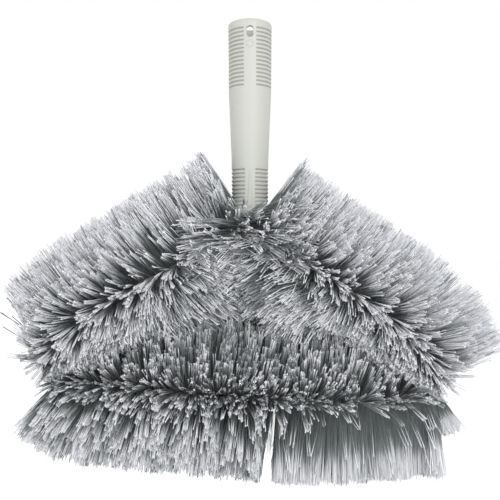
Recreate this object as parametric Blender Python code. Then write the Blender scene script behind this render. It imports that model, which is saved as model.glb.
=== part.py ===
"""Ceiling fan duster: a twisted-wire brush bent into a flat loop and held in a hollow handle.

Frame: metres, +Z up along the handle. The origin is the centre of the handle's open mouth,
where the extension pole goes in. The brush loop lies in the XZ plane, below the handle,
and its wider face looks along -Y.
"""

import math

import bmesh
import bpy
from mathutils import Vector

MM = 0.001

# Twisted stem: two steel wires that pinch the filaments between them
WIRE_RADIUS = 1.4 * MM
CORE_HALF = 0.6 * MM
PINCH_GAP = 0.5 * MM
TWIST_PITCH = 32.0 * MM
WIRE_POINTS_PER_TURN = 8
HELIX_RADIUS = CORE_HALF + PINCH_GAP + WIRE_RADIUS
STEM_RADIUS = HELIX_RADIUS + WIRE_RADIUS

# Anchor plug and crimp sleeve, which hold the two stem tails in the handle
HOLE_CLEARANCE = 0.4 * MM
HOLE_WEB = 1.6 * MM
PLUG_WALL = 1.1 * MM
PLUG_LENGTH = 30.0 * MM
FIT_CLEARANCE = 0.3 * MM
FLANGE_THICKNESS = 2.5 * MM
FLANGE_SETBACK = 0.7 * MM
RIB_HEIGHT = 0.5 * MM
RIB_HALF_WIDTH = 1.0 * MM
RIB_DEPTH = 15.0 * MM
SLEEVE_LENGTH = 12.0 * MM
SLEEVE_WALL = 0.9 * MM
SLEEVE_CLEARANCE = 0.2 * MM
TAIL_STANDOUT = 3.0 * MM
HOLE_RADIUS = STEM_RADIUS + HOLE_CLEARANCE
STEM_OFFSET = HOLE_RADIUS + HOLE_WEB / 2
PLUG_RADIUS = STEM_OFFSET + HOLE_RADIUS + PLUG_WALL
ANCHOR_BORE_RADIUS = PLUG_RADIUS + FIT_CLEARANCE

# Handle: pole socket at the mouth, ribbed grips, narrow end over the anchor plug
HANDLE_LENGTH = 144.0 * MM
SOCKET_RADIUS = 12.8 * MM
SOCKET_WALL = 3.7 * MM
SOCKET_DEPTH = 72.0 * MM
WEB_THICKNESS = 4.0 * MM
MOUTH_CHAMFER = 0.5 * MM
RIM_ROUND = 1.2 * MM
GRIP_LENGTH = 50.0 * MM
GRIP_DRAFT = 0.35 * MM
END_LENGTH = 40.0 * MM
END_WALL = 3.1 * MM
END_DRAFT = 0.2 * MM
END_ROUND = 0.8 * MM
GROOVE_DEPTH = 0.6 * MM
GROOVE_HALF_WIDTH = 0.75 * MM
GROOVE_PITCH = 3.0 * MM
TOP_GROOVES = 15
TOP_GROOVE_DROP = 7.0 * MM
END_GROOVES = 10
END_GROOVE_INSET = 7.5 * MM
STRIP_HALF_ANGLE = math.radians(15.5)
STRIP_EDGE_ANGLE = math.radians(3.0)
SIDE_STEPS = 10
ROUND_STEPS = 3
SLOT_HALF_WIDTH = 2.6 * MM
SLOT_HEIGHT = 8.7 * MM
SLOT_DROP = 5.6 * MM
SLOT_ARC_STEPS = 6
GRIP_TOP_RADIUS = SOCKET_RADIUS + SOCKET_WALL
GRIP_BOTTOM_RADIUS = GRIP_TOP_RADIUS - GRIP_DRAFT
END_TOP_RADIUS = ANCHOR_BORE_RADIUS + END_WALL
END_RADIUS = END_TOP_RADIUS - END_DRAFT

# Brush loop: where the stem's centre line turns. The shares are of the loop's width, sideways
# from the handle's axis, and of its height, down from the handle's end.
LOOP_WIDTH = 314.0 * MM
LOOP_HEIGHT = 145.5 * MM
LEFT_SHOULDER_SHARES = (-0.414, 0.557)
LEFT_CORNER_SHARES = (-0.519, 0.859)
BASE_BOW_SHARES = (0.185, 1.0)
RIGHT_CORNER_SHARES = (0.481, 0.942)
RIGHT_SHOULDER_SHARES = (0.369, 0.591)
LEFT_NECK_DROP = 7.5 * MM
RIGHT_NECK_DROP = 12.0 * MM
NECK_BEND_RADIUS = 9.0 * MM
SHOULDER_BEND_RADIUS = 110.0 * MM
CORNER_BEND_RADIUS = 9.0 * MM
BASE_BEND_RADIUS = 420.0 * MM

# Filament tufts, drawn as strands that leave the stem between its wires
ARM_REACH = 61.0 * MM
BASE_REACH = 58.5 * MM
LEFT_CORNER_REACH = 40.0 * MM
LEFT_CORNER_FLARE_SHARE = 0.6
CORNER_BEND_REACH = 34.0 * MM
CORNER_COMB_LENGTH = 60.0 * MM
STRAND_SPACING = 3.05 * MM
STRAND_ROOT = 1.8 * MM
STRAND_TIP_HALF = 0.65 * MM
STRAND_MARGIN = 1.2 * MM
SHORTEST_STRAND = 12.0 * MM
SECTION_GAP = 0.4 * MM
BASE_PARTING_SHARES = (0.049, 1.0)
NECK_SIDE_LIMIT_SHARE = 0.35
CORNER_SIDE_LIMIT_SHARE = 0.5

# How far outward strands lean away from a lower corner, on the way into its bend and out of it
LEFT_CORNER, RIGHT_CORNER = 2, 4
CORNER_LEAN_SHARES = {LEFT_CORNER: (0.27, -0.42), RIGHT_CORNER: (0.09, 0.2)}

# The gap that the fan blade goes through, between the arms' strands and the base's
BLADE_GAP_WIDTH_SHARE = 0.42
BLADE_GAP_DROP_SHARE = 0.488
BLADE_GAP_HEIGHT = 12.0 * MM

LATHE_STEPS = 28
SEARCH_STEPS = 900
HANDLE_CHECK_STEPS = 60
CUT_OVERRUN = 2.0 * MM

IVORY_PLASTIC = ("ivory_plastic", (0.72, 0.73, 0.69), 0.45, 0.0)
GREY_PLASTIC = ("grey_plastic", (0.42, 0.43, 0.42), 0.5, 0.0)
STEEL = ("galvanised_steel", (0.55, 0.56, 0.57), 0.35, 1.0)
ALUMINIUM = ("crimp_aluminium", (0.7, 0.7, 0.71), 0.4, 1.0)
FILAMENT = ("grey_filament", (0.2, 0.22, 0.22), 0.6, 0.0)


def clear_scene():
    for obj in list(bpy.data.objects):
        bpy.data.objects.remove(obj, do_unlink=True)


def material(finish):
    name, colour, roughness, metallic = finish
    found = bpy.data.materials.get(name)
    if found:
        return found
    made = bpy.data.materials.new(name)
    made.use_nodes = True
    shader = made.node_tree.nodes["Principled BSDF"]
    shader.inputs["Base Color"].default_value = (*colour, 1.0)
    shader.inputs["Roughness"].default_value = roughness
    shader.inputs["Metallic"].default_value = metallic
    return made


def add_object(name, data, finish=None):
    obj = bpy.data.objects.new(name, data)
    bpy.context.scene.collection.objects.link(obj)
    if finish:
        data.materials.append(material(finish))
    return obj


def mesh_object(name, bm, finish=None, smooth_angle=math.radians(30)):
    bmesh.ops.recalc_face_normals(bm, faces=bm.faces)
    mesh = bpy.data.meshes.new(name)
    bm.to_mesh(mesh)
    bm.free()
    mesh.shade_smooth()
    mesh.set_sharp_from_angle(angle=smooth_angle)
    return add_object(name, mesh, finish)


def cutter_object(name, bm):
    obj = mesh_object(name, bm)
    obj.hide_render = True
    obj.display_type = "WIRE"
    return obj


def cut(obj, cutter):
    boolean = obj.modifiers.new("cut_" + cutter.name, "BOOLEAN")
    boolean.operation = "DIFFERENCE"
    boolean.object = cutter


# Turned shapes
def turn_profile(profile, spans):
    """Spins (radius, height) points round Z through (angle, steps) spans, starting at -Y."""
    bm = bmesh.new()
    start = -math.pi / 2 - spans[0][0] / 2
    across = Vector((math.cos(start), math.sin(start), 0))
    verts = [bm.verts.new(across * radius + Vector((0, 0, height))) for radius, height in profile]
    last = [bm.edges.new(pair) for pair in zip(verts, verts[1:])]
    last += verts
    for angle, steps in spans:
        spun = bmesh.ops.spin(
            bm, geom=last, cent=(0, 0, 0), axis=(0, 0, 1), angle=angle, steps=steps, use_merge=False
        )
        last = spun["geom_last"]
    bmesh.ops.remove_doubles(bm, verts=bm.verts, dist=SECTION_GAP / 100)
    return bm


def quarter_round(centre_radius, centre_height, size, start_angle, steps):
    """Points of a quarter circle that runs clockwise from start_angle."""
    points = []
    for step in range(steps + 1):
        angle = start_angle - math.pi / 2 * step / steps
        points.append((centre_radius + size * math.cos(angle), centre_height + size * math.sin(angle)))
    return points


def cylinder(radius, bottom, top, across=0.0, steps=LATHE_STEPS):
    bm = bmesh.new()
    bmesh.ops.create_cone(
        bm, cap_ends=True, segments=steps, radius1=radius, radius2=radius, depth=top - bottom
    )
    bmesh.ops.translate(bm, verts=bm.verts, vec=(across, 0, (top + bottom) / 2))
    return bm


# Handle
def handle_radius(height):
    """Outer radius of the handle at a height: a near-straight grip, a taper and a narrow end."""
    stations = [
        (0.0, GRIP_TOP_RADIUS),
        (-GRIP_LENGTH, GRIP_BOTTOM_RADIUS),
        (END_LENGTH - HANDLE_LENGTH, END_TOP_RADIUS),
        (-HANDLE_LENGTH, END_RADIUS),
    ]
    for (top, top_radius), (bottom, bottom_radius) in zip(stations, stations[1:]):
        if height >= bottom:
            share = (top - height) / (top - bottom)
            return top_radius + share * (bottom_radius - top_radius)
    return END_RADIUS


def groove_heights():
    top = [-TOP_GROOVE_DROP - GROOVE_PITCH * n for n in range(TOP_GROOVES)]
    first = END_LENGTH - HANDLE_LENGTH - END_GROOVE_INSET
    return top, [first - GROOVE_PITCH * n for n in range(END_GROOVES)]


def handle_profile():
    floor = -SOCKET_DEPTH
    anchor_top = floor - WEB_THICKNESS
    end = -HANDLE_LENGTH
    rib = end + RIB_DEPTH
    rib_half = RIB_HALF_WIDTH + FIT_CLEARANCE
    rib_radius = ANCHOR_BORE_RADIUS + RIB_HEIGHT
    points = [(0.0, floor), (SOCKET_RADIUS, floor), (SOCKET_RADIUS, -MOUTH_CHAMFER)]
    points.append((SOCKET_RADIUS + MOUTH_CHAMFER, 0.0))
    rim_radius = handle_radius(-RIM_ROUND) - RIM_ROUND
    points += quarter_round(rim_radius, -RIM_ROUND, RIM_ROUND, math.pi / 2, ROUND_STEPS)
    top_grooves, end_grooves = groove_heights()
    for centre in top_grooves:
        points += groove_stations(centre)
    for height in (-GRIP_LENGTH, END_LENGTH - HANDLE_LENGTH):
        points.append((handle_radius(height), height))
    for centre in end_grooves:
        points += groove_stations(centre)
    points += quarter_round(END_RADIUS - END_ROUND, end + END_ROUND, END_ROUND, 0.0, ROUND_STEPS)
    points += [
        (ANCHOR_BORE_RADIUS, end),
        (ANCHOR_BORE_RADIUS, rib - rib_half - RIB_HEIGHT),
        (rib_radius, rib - rib_half),
        (rib_radius, rib + rib_half),
        (ANCHOR_BORE_RADIUS, rib + rib_half + RIB_HEIGHT),
        (ANCHOR_BORE_RADIUS, anchor_top),
        (0.0, anchor_top),
    ]
    return points


def groove_stations(centre):
    heights = (centre + GROOVE_HALF_WIDTH, centre, centre - GROOVE_HALF_WIDTH)
    return [(handle_radius(height), height) for height in heights]


def press_grooves(bm):
    """Pushes each groove's middle ring inwards, except on the plain strips front and back."""
    top_grooves, end_grooves = groove_heights()
    for centre in top_grooves + end_grooves:
        radius = handle_radius(centre)
        for vert in bm.verts:
            across = math.hypot(vert.co.x, vert.co.y)
            if abs(vert.co.z - centre) > SECTION_GAP / 10 or abs(across - radius) > SECTION_GAP / 10:
                continue
            from_strip = math.asin(min(1.0, abs(vert.co.x) / radius))
            if from_strip > STRIP_HALF_ANGLE + STRIP_EDGE_ANGLE / 2:
                inward = (radius - GROOVE_DEPTH) / radius
                vert.co.x *= inward
                vert.co.y *= inward


def slot_cutter():
    """A round-ended bar across the handle, for the hanging slot through both walls."""
    bm = bmesh.new()
    low = -SLOT_DROP - SLOT_HEIGHT + SLOT_HALF_WIDTH
    high = -SLOT_DROP - SLOT_HALF_WIDTH
    side = GRIP_TOP_RADIUS + CUT_OVERRUN
    outline = []
    for centre, start in ((high, 0.0), (low, math.pi)):
        for step in range(SLOT_ARC_STEPS + 1):
            angle = start + math.pi * step / SLOT_ARC_STEPS
            x = SLOT_HALF_WIDTH * math.cos(angle)
            z = centre + SLOT_HALF_WIDTH * math.sin(angle)
            outline.append(bm.verts.new((x, -side, z)))
    face = bm.faces.new(outline)
    extruded = bmesh.ops.extrude_face_region(bm, geom=[face])
    moved = [item for item in extruded["geom"] if isinstance(item, bmesh.types.BMVert)]
    bmesh.ops.translate(bm, verts=moved, vec=(0, 2 * side, 0))
    return cutter_object("hanging_slot_cutter", bm)


def build_handle():
    strip = 2 * STRIP_HALF_ANGLE
    side = math.pi - strip - 2 * STRIP_EDGE_ANGLE
    half_turn = [(strip, 2), (STRIP_EDGE_ANGLE, 1), (side, SIDE_STEPS), (STRIP_EDGE_ANGLE, 1)]
    bm = turn_profile(handle_profile(), half_turn * 2)
    press_grooves(bm)
    handle = mesh_object("handle_shell", bm, IVORY_PLASTIC)
    cut(handle, slot_cutter())


# Anchor plug and crimp sleeve
def build_plug():
    seat = -HANDLE_LENGTH - FIT_CLEARANCE
    top = -HANDLE_LENGTH + PLUG_LENGTH
    rib = -HANDLE_LENGTH + RIB_DEPTH
    flange_radius = END_RADIUS - FLANGE_SETBACK
    profile = [
        (0.0, top),
        (PLUG_RADIUS, top),
        (PLUG_RADIUS, rib + RIB_HALF_WIDTH + RIB_HEIGHT),
        (PLUG_RADIUS + RIB_HEIGHT, rib + RIB_HALF_WIDTH),
        (PLUG_RADIUS + RIB_HEIGHT, rib - RIB_HALF_WIDTH),
        (PLUG_RADIUS, rib - RIB_HALF_WIDTH - RIB_HEIGHT),
        (PLUG_RADIUS, seat),
        (flange_radius, seat),
        (flange_radius, seat - FLANGE_THICKNESS),
        (0.0, seat - FLANGE_THICKNESS),
    ]
    turned = turn_profile(profile, [(2 * math.pi, LATHE_STEPS)])
    plug = mesh_object("wire_anchor_plug", turned, GREY_PLASTIC)
    low = seat - FLANGE_THICKNESS - CUT_OVERRUN
    for side, name in ((-1, "left_stem_hole_cutter"), (1, "right_stem_hole_cutter")):
        hole = cylinder(HOLE_RADIUS, low, top + CUT_OVERRUN, side * STEM_OFFSET)
        cut(plug, cutter_object(name, hole))


def racetrack(bm, half_width, height, steps=8):
    """Edges of a round-ended outline whose ends are centred on the two stems."""
    verts = []
    for centre, start in ((STEM_OFFSET, -math.pi / 2), (-STEM_OFFSET, math.pi / 2)):
        for step in range(steps + 1):
            angle = start + math.pi * step / steps
            x = centre + half_width * math.cos(angle)
            verts.append(bm.verts.new((x, half_width * math.sin(angle), height)))
    return [bm.edges.new(pair) for pair in zip(verts, verts[1:] + verts[:1])]


def build_sleeve():
    """An oval crimp round both stems, too wide to pull down through the plug's holes."""
    bottom = -HANDLE_LENGTH + PLUG_LENGTH + FIT_CLEARANCE
    inner = STEM_RADIUS + SLEEVE_CLEARANCE
    bm = bmesh.new()
    loops = racetrack(bm, inner, bottom) + racetrack(bm, inner + SLEEVE_WALL, bottom)
    ring = bmesh.ops.bridge_loops(bm, edges=loops)["faces"]
    extruded = bmesh.ops.extrude_face_region(bm, geom=ring)
    moved = [item for item in extruded["geom"] if isinstance(item, bmesh.types.BMVert)]
    bmesh.ops.translate(bm, verts=moved, vec=(0, 0, SLEEVE_LENGTH))
    mesh_object("crimp_sleeve", bm, ALUMINIUM)


# The stem's centre line
class StemPath:
    """Straight runs in the XZ plane joined by arcs, one at each inner corner point."""

    def __init__(self, corners):
        self.pieces = []
        self.bends = []
        self.length = 0.0
        at = corners[0][0]
        for (_, _), (corner, radius), (after, _) in zip(corners, corners[1:], corners[2:]):
            way_in = (corner - at).normalized()
            way_out = (after - corner).normalized()
            turn = way_in.angle(way_out)
            trim = radius * math.tan(turn / 2)
            begin = corner - way_in * trim
            self.add_line(at, begin)
            self.add_arc(begin, way_in, way_out, turn, radius)
            at = corner + way_out * trim
        self.add_line(at, corners[-1][0])

    def add_line(self, start, end):
        way = (end - start).normalized()
        self.add_piece((end - start).length, lambda along: (start + way * along, way))

    def add_arc(self, start, way_in, way_out, turn, radius):
        side = (way_out - way_in * way_in.dot(way_out)).normalized()
        centre = start + side * radius

        def at(along):
            angle = along / radius
            place = centre - side * radius * math.cos(angle) + way_in * radius * math.sin(angle)
            return place, way_in * math.cos(angle) + side * math.sin(angle)

        self.bends.append((self.length, self.length + turn * radius, centre))
        self.add_piece(turn * radius, at)

    def add_piece(self, length, at):
        self.pieces.append((self.length, length, at))
        self.length += length

    def nearest(self, point):
        """Distance along the centre line of its nearest place to a point."""
        marks = [self.length * step / SEARCH_STEPS for step in range(SEARCH_STEPS + 1)]
        return min(marks, key=lambda along: (self.at(along)[0] - point).length)

    def middle_of_bend(self, number):
        begin, finish, _ = self.bends[number]
        return (begin + finish) / 2

    def at(self, along):
        """(place, direction of travel) at a distance along the centre line."""
        for start, length, piece_at in self.pieces:
            if along <= start + length:
                return piece_at(along - start)
        return self.pieces[-1][2](self.pieces[-1][1])

    def frame(self, along):
        """Place, travel, the direction to wire A and the direction that the strands leave in."""
        place, travel = self.at(along)
        outward = Vector((travel.z, 0, -travel.x))
        sideways = Vector((0, 1, 0))
        angle = 2 * math.pi * along / TWIST_PITCH
        to_wire = outward * math.cos(angle) + sideways * math.sin(angle)
        to_strand = sideways * math.cos(angle) - outward * math.sin(angle)
        return place, travel, to_wire, to_strand


def in_plane(x, z):
    return Vector((x, 0, z))


def on_loop(shares):
    across_share, down_share = shares
    return in_plane(across_share * LOOP_WIDTH, -HANDLE_LENGTH - down_share * LOOP_HEIGHT)


def stem_path():
    end = -HANDLE_LENGTH
    tail = end + PLUG_LENGTH + FIT_CLEARANCE + SLEEVE_LENGTH + TAIL_STANDOUT
    return StemPath(
        [
            (in_plane(-STEM_OFFSET, tail), 0.0),
            (in_plane(-STEM_OFFSET, end - LEFT_NECK_DROP), NECK_BEND_RADIUS),
            (on_loop(LEFT_SHOULDER_SHARES), SHOULDER_BEND_RADIUS),
            (on_loop(LEFT_CORNER_SHARES), CORNER_BEND_RADIUS),
            (on_loop(BASE_BOW_SHARES), BASE_BEND_RADIUS),
            (on_loop(RIGHT_CORNER_SHARES), CORNER_BEND_RADIUS),
            (on_loop(RIGHT_SHOULDER_SHARES), SHOULDER_BEND_RADIUS),
            (in_plane(STEM_OFFSET, end - RIGHT_NECK_DROP), NECK_BEND_RADIUS),
            (in_plane(STEM_OFFSET, tail), 0.0),
        ]
    )


def build_wires(path):
    count = round(path.length / TWIST_PITCH * WIRE_POINTS_PER_TURN)
    tracks = []
    for side, name in ((1, "stem_wire_a"), (-1, "stem_wire_b")):
        track = []
        for step in range(count + 1):
            place, _, to_wire, _ = path.frame(path.length * step / count)
            track.append(place + to_wire * HELIX_RADIUS * side)
        tracks.append(track)
        curve = bpy.data.curves.new(name, "CURVE")
        curve.dimensions = "3D"
        curve.bevel_depth = WIRE_RADIUS
        curve.bevel_resolution = 1
        curve.use_fill_caps = True
        spline = curve.splines.new("POLY")
        spline.points.add(len(track) - 1)
        for point, place in zip(spline.points, track):
            point.co = (*place, 1.0)
        add_object(name, curve, STEEL)
    least = min((a - b).length for a in tracks[0] for b in tracks[1]) - 2 * WIRE_RADIUS
    print(f"least gap between the two stem wires: {least / MM:.2f} mm")


# Strands
def blade_gap_corners():
    """The blade gap's corners in the XZ plane: top left, top right, bottom left, bottom right."""
    top = -HANDLE_LENGTH - BLADE_GAP_DROP_SHARE * LOOP_HEIGHT
    bottom = top - BLADE_GAP_HEIGHT
    half = BLADE_GAP_WIDTH_SHARE * LOOP_WIDTH / 2
    return [in_plane(x, z) for z in (top, bottom) for x in (-half, half)]


def fences(path):
    """Lines in the XZ plane that no strand crosses: they part the arms, the base and the blade gap."""
    left_top, right_top, left_bottom, right_bottom = blade_gap_corners()
    left_corner, right_corner = path.bends[LEFT_CORNER][2], path.bends[RIGHT_CORNER][2]
    return [
        (in_plane(0, 0), (left_top + right_top) / 2),
        (left_corner, left_bottom),
        (right_corner, right_bottom),
        (left_top, right_top),
        (left_bottom, right_bottom),
        (left_top, left_bottom),
        (right_top, right_bottom),
    ]


def distance_to_fence(root, way, fence):
    """How far a strand runs before its margin meets a fence, or None if it never does."""
    start, end = fence
    along = end - start
    across = Vector((along.z, 0, -along.x)).normalized()
    closing = way.dot(across)
    if abs(closing) < 1e-6:
        return None
    to_line = (start - root).dot(across)
    if to_line * closing <= 0:
        return None
    crossing = root + way * (to_line / closing)
    share = (crossing - start).dot(along) / along.length_squared
    slack = STRAND_MARGIN / along.length
    if not -slack <= share <= 1 + slack:
        return None
    return (abs(to_line) - STRAND_MARGIN) / abs(closing)


def distance_to_handle(root, way, reach):
    """How far a strand runs before it comes too near the handle's end or the plug's flange."""
    keep_out = END_TOP_RADIUS + STRAND_MARGIN
    bottom = -HANDLE_LENGTH - FIT_CLEARANCE - FLANGE_THICKNESS - STRAND_MARGIN
    for step in range(HANDLE_CHECK_STEPS + 1):
        place = root + way * reach * step / HANDLE_CHECK_STEPS
        if place.z > bottom and math.hypot(place.x, place.y) < keep_out:
            return reach * (step - 1) / HANDLE_CHECK_STEPS
    return reach


def strand_length(root, way, reach, limits):
    lengths = [distance_to_fence(root, way, fence) for fence in limits]
    free = min([reach] + [length for length in lengths if length is not None])
    return min(free, distance_to_handle(root, way, reach))


def reach_near_corner(path, along, reach):
    """Filaments are short in both lower bends, and reach their full length sooner on the right."""
    if in_bend(path, along, (LEFT_CORNER, RIGHT_CORNER)):
        return min(reach, CORNER_BEND_REACH)
    from_corner = abs(along - path.middle_of_bend(LEFT_CORNER))
    return min(reach, LEFT_CORNER_REACH + LEFT_CORNER_FLARE_SHARE * from_corner)


def combed(path, along, way):
    """The way of a strand, once outward strands near the lower corners lean along the stem."""
    _, travel = path.at(along)
    outward = max(0.0, way.dot(Vector((travel.z, 0, -travel.x))))
    lean = 0.0
    for number, (before_share, after_share) in CORNER_LEAN_SHARES.items():
        past = along - path.middle_of_bend(number)
        share = after_share if past > 0 else -before_share
        lean += share * max(0.0, 1 - abs(past) / CORNER_COMB_LENGTH)
    return (way + travel * lean * outward).normalized()


def in_bend(path, along, numbers):
    return any(path.bends[n][0] <= along <= path.bends[n][1] for n in numbers)


def strand_fits(path, along, way):
    """Leaves out strands that a tight bend presses together, and those in the notch outside it."""
    _, travel = path.at(along)
    outward = way.dot(Vector((travel.z, 0, -travel.x)))
    if in_bend(path, along, (0, 6)):
        return abs(outward) < NECK_SIDE_LIMIT_SHARE
    if in_bend(path, along, (LEFT_CORNER, RIGHT_CORNER)):
        return abs(outward) < CORNER_SIDE_LIMIT_SHARE
    return True


def build_strands(path, name, start, end, reach, limits):
    """A slice of the pinched filament core with its strands grown out of it."""
    start += SECTION_GAP / 2
    end -= SECTION_GAP / 2
    count = max(1, round((end - start) / STRAND_SPACING))
    spacing = (end - start) / count
    stations = [start]
    for n in range(count):
        middle = start + (n + 0.5) * spacing
        stations += [middle - STRAND_ROOT / 2, middle + STRAND_ROOT / 2]
    stations.append(end)

    bm = bmesh.new()
    place, travel, to_wire, to_strand = path.frame(start)
    corners = [(1, 1), (-1, 1), (-1, -1), (1, -1)]
    ring = [bm.verts.new(place + (to_wire * a + to_strand * b) * CORE_HALF) for a, b in corners]
    cap = bm.faces.new(ring)
    roots = []
    for index, along in enumerate(stations[1:]):
        before = (place, to_wire, to_strand)
        place, travel, to_wire, to_strand = path.frame(along)
        extruded = bmesh.ops.extrude_face_region(bm, geom=[cap, *cap.edges, *cap.verts])
        moved = [item for item in extruded["geom"] if isinstance(item, bmesh.types.BMVert)]
        cap = next(item for item in extruded["geom"] if isinstance(item, bmesh.types.BMFace))
        for vert in moved:
            offset = vert.co - before[0]
            a = math.copysign(1, offset.dot(before[1]))
            b = math.copysign(1, offset.dot(before[2]))
            vert.co = place + (to_wire * a + to_strand * b) * CORE_HALF
        if index % 2 == 1:
            roots += root_faces(path, cap, along - STRAND_ROOT / 2)
    lines = grow_strands(bm, path, roots, reach, limits)
    mesh_object(name, bm, FILAMENT)
    print(f"{name}: {len(lines)} strands")
    return lines


def root_faces(path, cap, middle):
    """The two side faces behind the cap that look out between the wires."""
    place, _, _, to_strand = path.frame(middle)
    found = []
    for edge in cap.edges:
        for face in edge.link_faces:
            reach = (face.calc_center_median() - place).dot(to_strand)
            if face is not cap and abs(reach) > CORE_HALF / 2:
                found.append((face, middle, math.copysign(1, reach)))
    return found


def grow_strands(bm, path, roots, reach, limits):
    lines = []
    for face, middle, side in roots:
        place, travel, to_wire, to_strand = path.frame(middle)
        if not strand_fits(path, middle, to_strand * side):
            continue
        way = combed(path, middle, to_strand * side)
        length = strand_length(place, way, reach_near_corner(path, middle, reach), limits)
        if length < SHORTEST_STRAND:
            continue
        top = bmesh.ops.extrude_discrete_faces(bm, faces=[face])["faces"][0]
        tip = place + way * length
        for vert in top.verts:
            offset = vert.co - place
            a = math.copysign(STRAND_TIP_HALF, offset.dot(travel))
            b = math.copysign(STRAND_TIP_HALF, offset.dot(to_wire))
            vert.co = tip + travel * a + to_wire * b
        lines.append((place + way * HELIX_RADIUS, tip))
    return lines


def gap_between(first, second):
    """Least distance between two straight strands' middle lines."""
    (a, b), (c, d) = first, second
    u, v, w = b - a, d - c, a - c
    uu, uv, vv, uw, vw = u.dot(u), u.dot(v), v.dot(v), u.dot(w), v.dot(w)
    spread = uu * vv - uv * uv
    s = min(1.0, max(0.0, (uv * vw - vv * uw) / spread)) if spread > 1e-18 else 0.0
    t = min(1.0, max(0.0, (uv * s + vw) / vv))
    s = min(1.0, max(0.0, (uv * t - uw) / uu))
    return (w + u * s - v * t).length


def build_bristles(path):
    bends = path.bends
    below_handle = STRAND_MARGIN + FLANGE_THICKNESS
    neck_left, neck_right = bends[0][0], bends[6][1]
    left_top, right_top, _, _ = blade_gap_corners()
    left_split, right_split = path.nearest(left_top), path.nearest(right_top)
    parting = path.nearest(on_loop(BASE_PARTING_SHARES))
    first = max(neck_left, path.pieces[0][1] - below_handle)
    last = min(neck_right, path.length - path.pieces[0][1] + below_handle)
    sections = [
        ("left_arm_upper_bristles", first, left_split, ARM_REACH),
        ("left_arm_lower_bristles", left_split, bends[2][0], ARM_REACH),
        ("left_corner_bristles", bends[2][0], bends[2][1], ARM_REACH),
        ("base_left_bristles", bends[2][1], parting, BASE_REACH),
        ("base_right_bristles", parting, bends[4][0], BASE_REACH),
        ("right_corner_bristles", bends[4][0], bends[4][1], ARM_REACH),
        ("right_arm_lower_bristles", bends[4][1], right_split, ARM_REACH),
        ("right_arm_upper_bristles", right_split, last, ARM_REACH),
    ]
    limits = fences(path)
    lines = []
    for name, start, end, reach in sections:
        lines += build_strands(path, name, start, end, reach, limits)
    pairs = ((lines[i], lines[j]) for i in range(len(lines)) for j in range(i))
    least = min(gap_between(*pair) for pair in pairs) - 2 * STRAND_TIP_HALF
    print(f"{len(lines)} strands, least gap between two of them: {least / MM:.2f} mm")


def main():
    clear_scene()
    build_handle()
    build_plug()
    build_sleeve()
    path = stem_path()
    build_wires(path)
    build_bristles(path)


main()
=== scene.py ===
"""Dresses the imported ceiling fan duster: moulded handle, round stem wires and dense flagged filaments."""

import math

import bmesh
import bpy
import numpy as np
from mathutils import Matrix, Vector
from mathutils.kdtree import KDTree


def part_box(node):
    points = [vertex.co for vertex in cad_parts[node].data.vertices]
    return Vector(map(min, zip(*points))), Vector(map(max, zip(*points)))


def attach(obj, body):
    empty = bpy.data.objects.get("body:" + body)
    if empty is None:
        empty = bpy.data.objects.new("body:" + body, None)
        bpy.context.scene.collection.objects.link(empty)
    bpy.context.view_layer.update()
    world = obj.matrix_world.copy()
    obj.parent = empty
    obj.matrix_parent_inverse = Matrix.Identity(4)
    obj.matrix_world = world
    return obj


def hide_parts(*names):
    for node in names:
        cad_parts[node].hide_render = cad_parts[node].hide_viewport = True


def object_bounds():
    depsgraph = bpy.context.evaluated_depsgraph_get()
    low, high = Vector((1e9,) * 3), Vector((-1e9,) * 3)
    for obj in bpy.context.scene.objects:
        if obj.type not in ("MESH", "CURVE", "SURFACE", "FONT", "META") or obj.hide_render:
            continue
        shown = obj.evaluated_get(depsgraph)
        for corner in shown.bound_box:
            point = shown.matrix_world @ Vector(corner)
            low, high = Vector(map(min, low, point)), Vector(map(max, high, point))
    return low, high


MM = 0.001

# Camera and stage
MM_PER_PIXEL = 0.76 * MM
PICTURE_PIXELS = 500
CAMERA_DISTANCE = 528.5 * MM
CAMERA_HEIGHT = -171.3 * MM
SENSOR_WIDTH = 36.0
FLOOR_DROP = 420.0 * MM
FLOOR_SIZE = 12.0
FLOOR_GREY = 0.85
FLOOR_ROUGHNESS = 0.9
FLOOR_GLOW = 0.5
SURROUND_LIGHT = 0.68
LAMP_SIZE = 0.8
KEY_PLACE, KEY_POWER = (0.45, -1.2, 0.25), 5.6
FILL_PLACE, FILL_POWER = (-0.45, -1.2, -0.05), 2.7

# Finishes: colour, roughness, strength of the grain and of the blotches, and metallic share
IVORY_PLASTIC = ((0.64, 0.65, 0.605), 0.42, 0.12, 0.03, 0.0)
GREY_PLASTIC = ((0.38, 0.39, 0.38), 0.5, 0.15, 0.05, 0.0)
GALVANISED_STEEL = ((0.56, 0.57, 0.58), 0.34, 0.2, 0.25, 1.0)
PRESSED_ALUMINIUM = ((0.7, 0.7, 0.71), 0.4, 0.15, 0.15, 1.0)
BLOTCH_SCALE, BLOTCH_DETAIL = 60.0, 4.0
GRAIN_SCALE, GRAIN_DETAIL = 2500.0, 2.0
GRAIN_HEIGHT = 0.05 * MM
ROUGHNESS_SWING = 0.25
# Painted shade: darkens and warms the handle's colour in its grooves
GROOVE_SHADE_TINT = (0.64, 0.63, 0.58, 1.0)
# Colours of a filament from its root to its flagged tip, by share of its length. The dark grey shafts and
# pale tips are the filaments' own colours; the darkening towards the root is painted shade for the deep zone
# by the stem.
FILAMENT_COLOURS = [
    # The first two stops are darker as painted shade of the deep zone by the stem
    (0.0, (0.17, 0.195, 0.19)),
    (0.3, (0.23, 0.26, 0.255)),
    (0.54, (0.27, 0.305, 0.305)),
    (0.68, (0.37, 0.395, 0.405)),
    (0.78, (0.7, 0.715, 0.735)),
    (0.85, (0.95, 0.96, 0.985)),
]
FILAMENT_SURFACE = {
    "Specular IOR Level": 0.5,
    "Diffuse Roughness": 1.0,
    "Sheen Weight": 0.6,
    "Sheen Roughness": 0.4,
    "Sheen Tint": (0.9, 0.91, 0.95, 1.0),
}
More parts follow.
